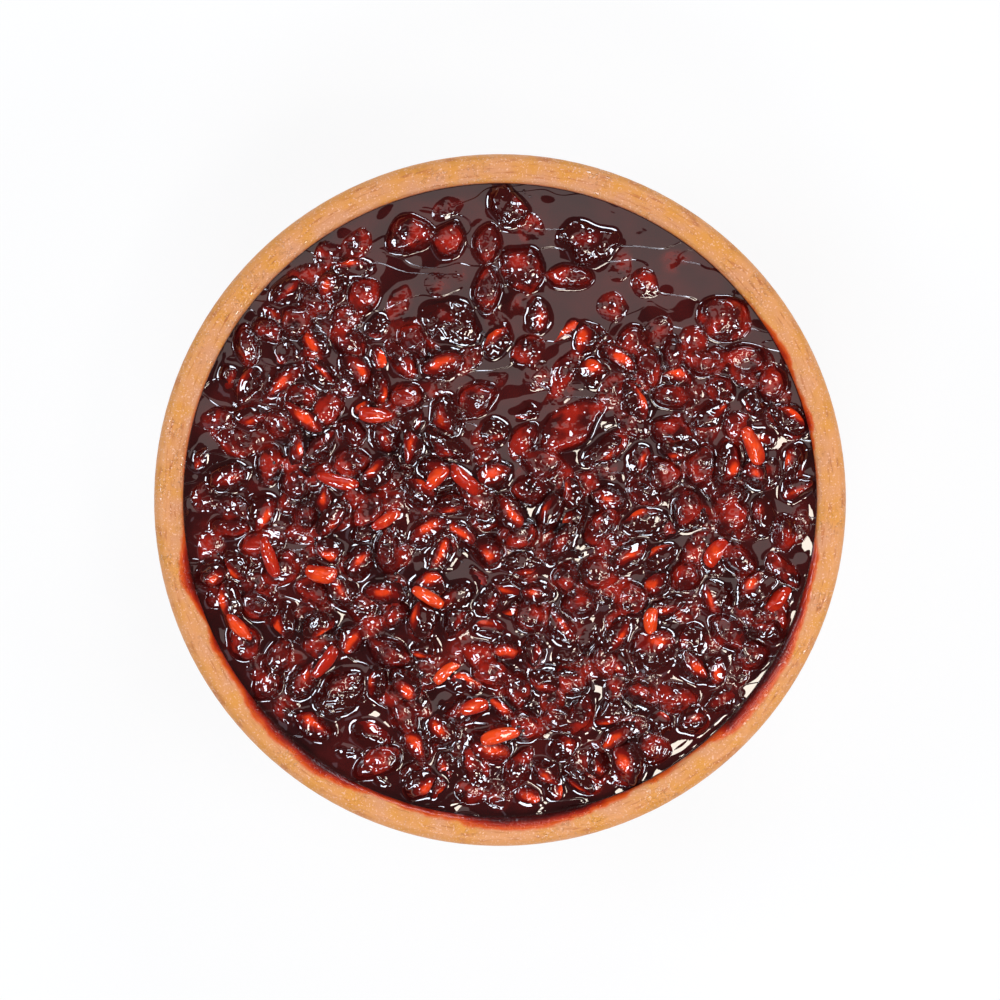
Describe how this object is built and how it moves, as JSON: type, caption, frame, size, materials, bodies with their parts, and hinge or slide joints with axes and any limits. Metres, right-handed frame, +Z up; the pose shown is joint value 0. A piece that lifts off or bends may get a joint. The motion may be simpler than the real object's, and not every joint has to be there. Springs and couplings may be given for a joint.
{
  "type": "wooden bowl of pomegranate paste",
  "caption": "Round turned wooden bowl on a low foot ring, filled with a glossy dark paste of pomegranate seeds in thick syrup, heaped a little above the rim.",
  "frame": {"origin": "centre of the foot, on the plane that the bowl stands on", "axes": "+Z up out of the mouth of the bowl; the heap of paste is highest a little towards -Y of the axis"},
  "size_m": [0.136, 0.136, 0.0509],
  "materials": {
    "wood": "fine-grained tan wood, lightly oiled, stained by syrup at the mouth",
    "paste": "wet glossy dark red syrup and cooked seeds"
  },
  "bodies": {
    "root": {"bowl": "wood", "pomegranate_paste": "paste"}
  },
  "joints": []
}
